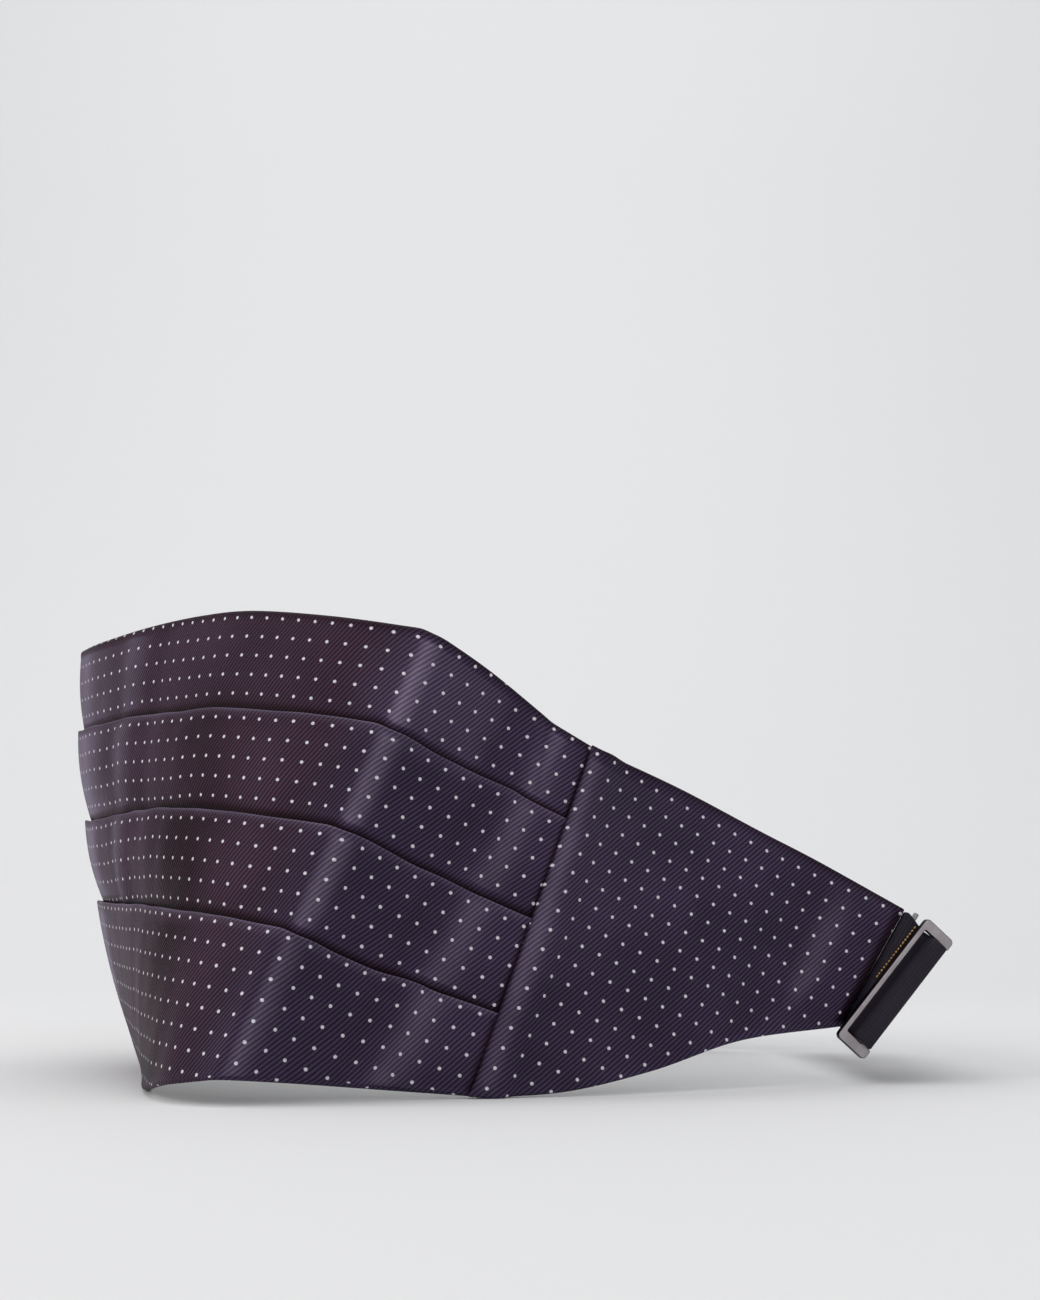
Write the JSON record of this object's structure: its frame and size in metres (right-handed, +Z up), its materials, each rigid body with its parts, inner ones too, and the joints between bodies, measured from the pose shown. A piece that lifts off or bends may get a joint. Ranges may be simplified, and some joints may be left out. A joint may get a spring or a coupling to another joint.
{
  "type": "cummerbund",
  "caption": "Pleated cloth waist band standing as an open ring, with plain tapering side panels and a narrow strap threaded through a rectangular metal slide.",
  "frame": {"origin": "middle of the ground under the standing ring", "axes": "+Z up, +X from the centre front to the back strap, Y across the body; the pleated halves mirror across Y = 0"},
  "size_m": [0.268, 0.2732, 0.1333],
  "materials": {
    "dotted_twill": "dark plum and navy silk twill with small white woven dots",
    "satin": "plain dark satin",
    "gunmetal": "satin gunmetal plating",
    "clasp_steel": "plain steel"
  },
  "bodies": {
    "root": {"front_panel": "dotted_twill", "side_panel_right": "dotted_twill", "side_panel_left": "dotted_twill", "strap_right": "satin", "strap_left": "satin", "slide_buckle": "gunmetal", "strap_pin": "clasp_steel", "back_clasp": "clasp_steel"}
  },
  "joints": []
}
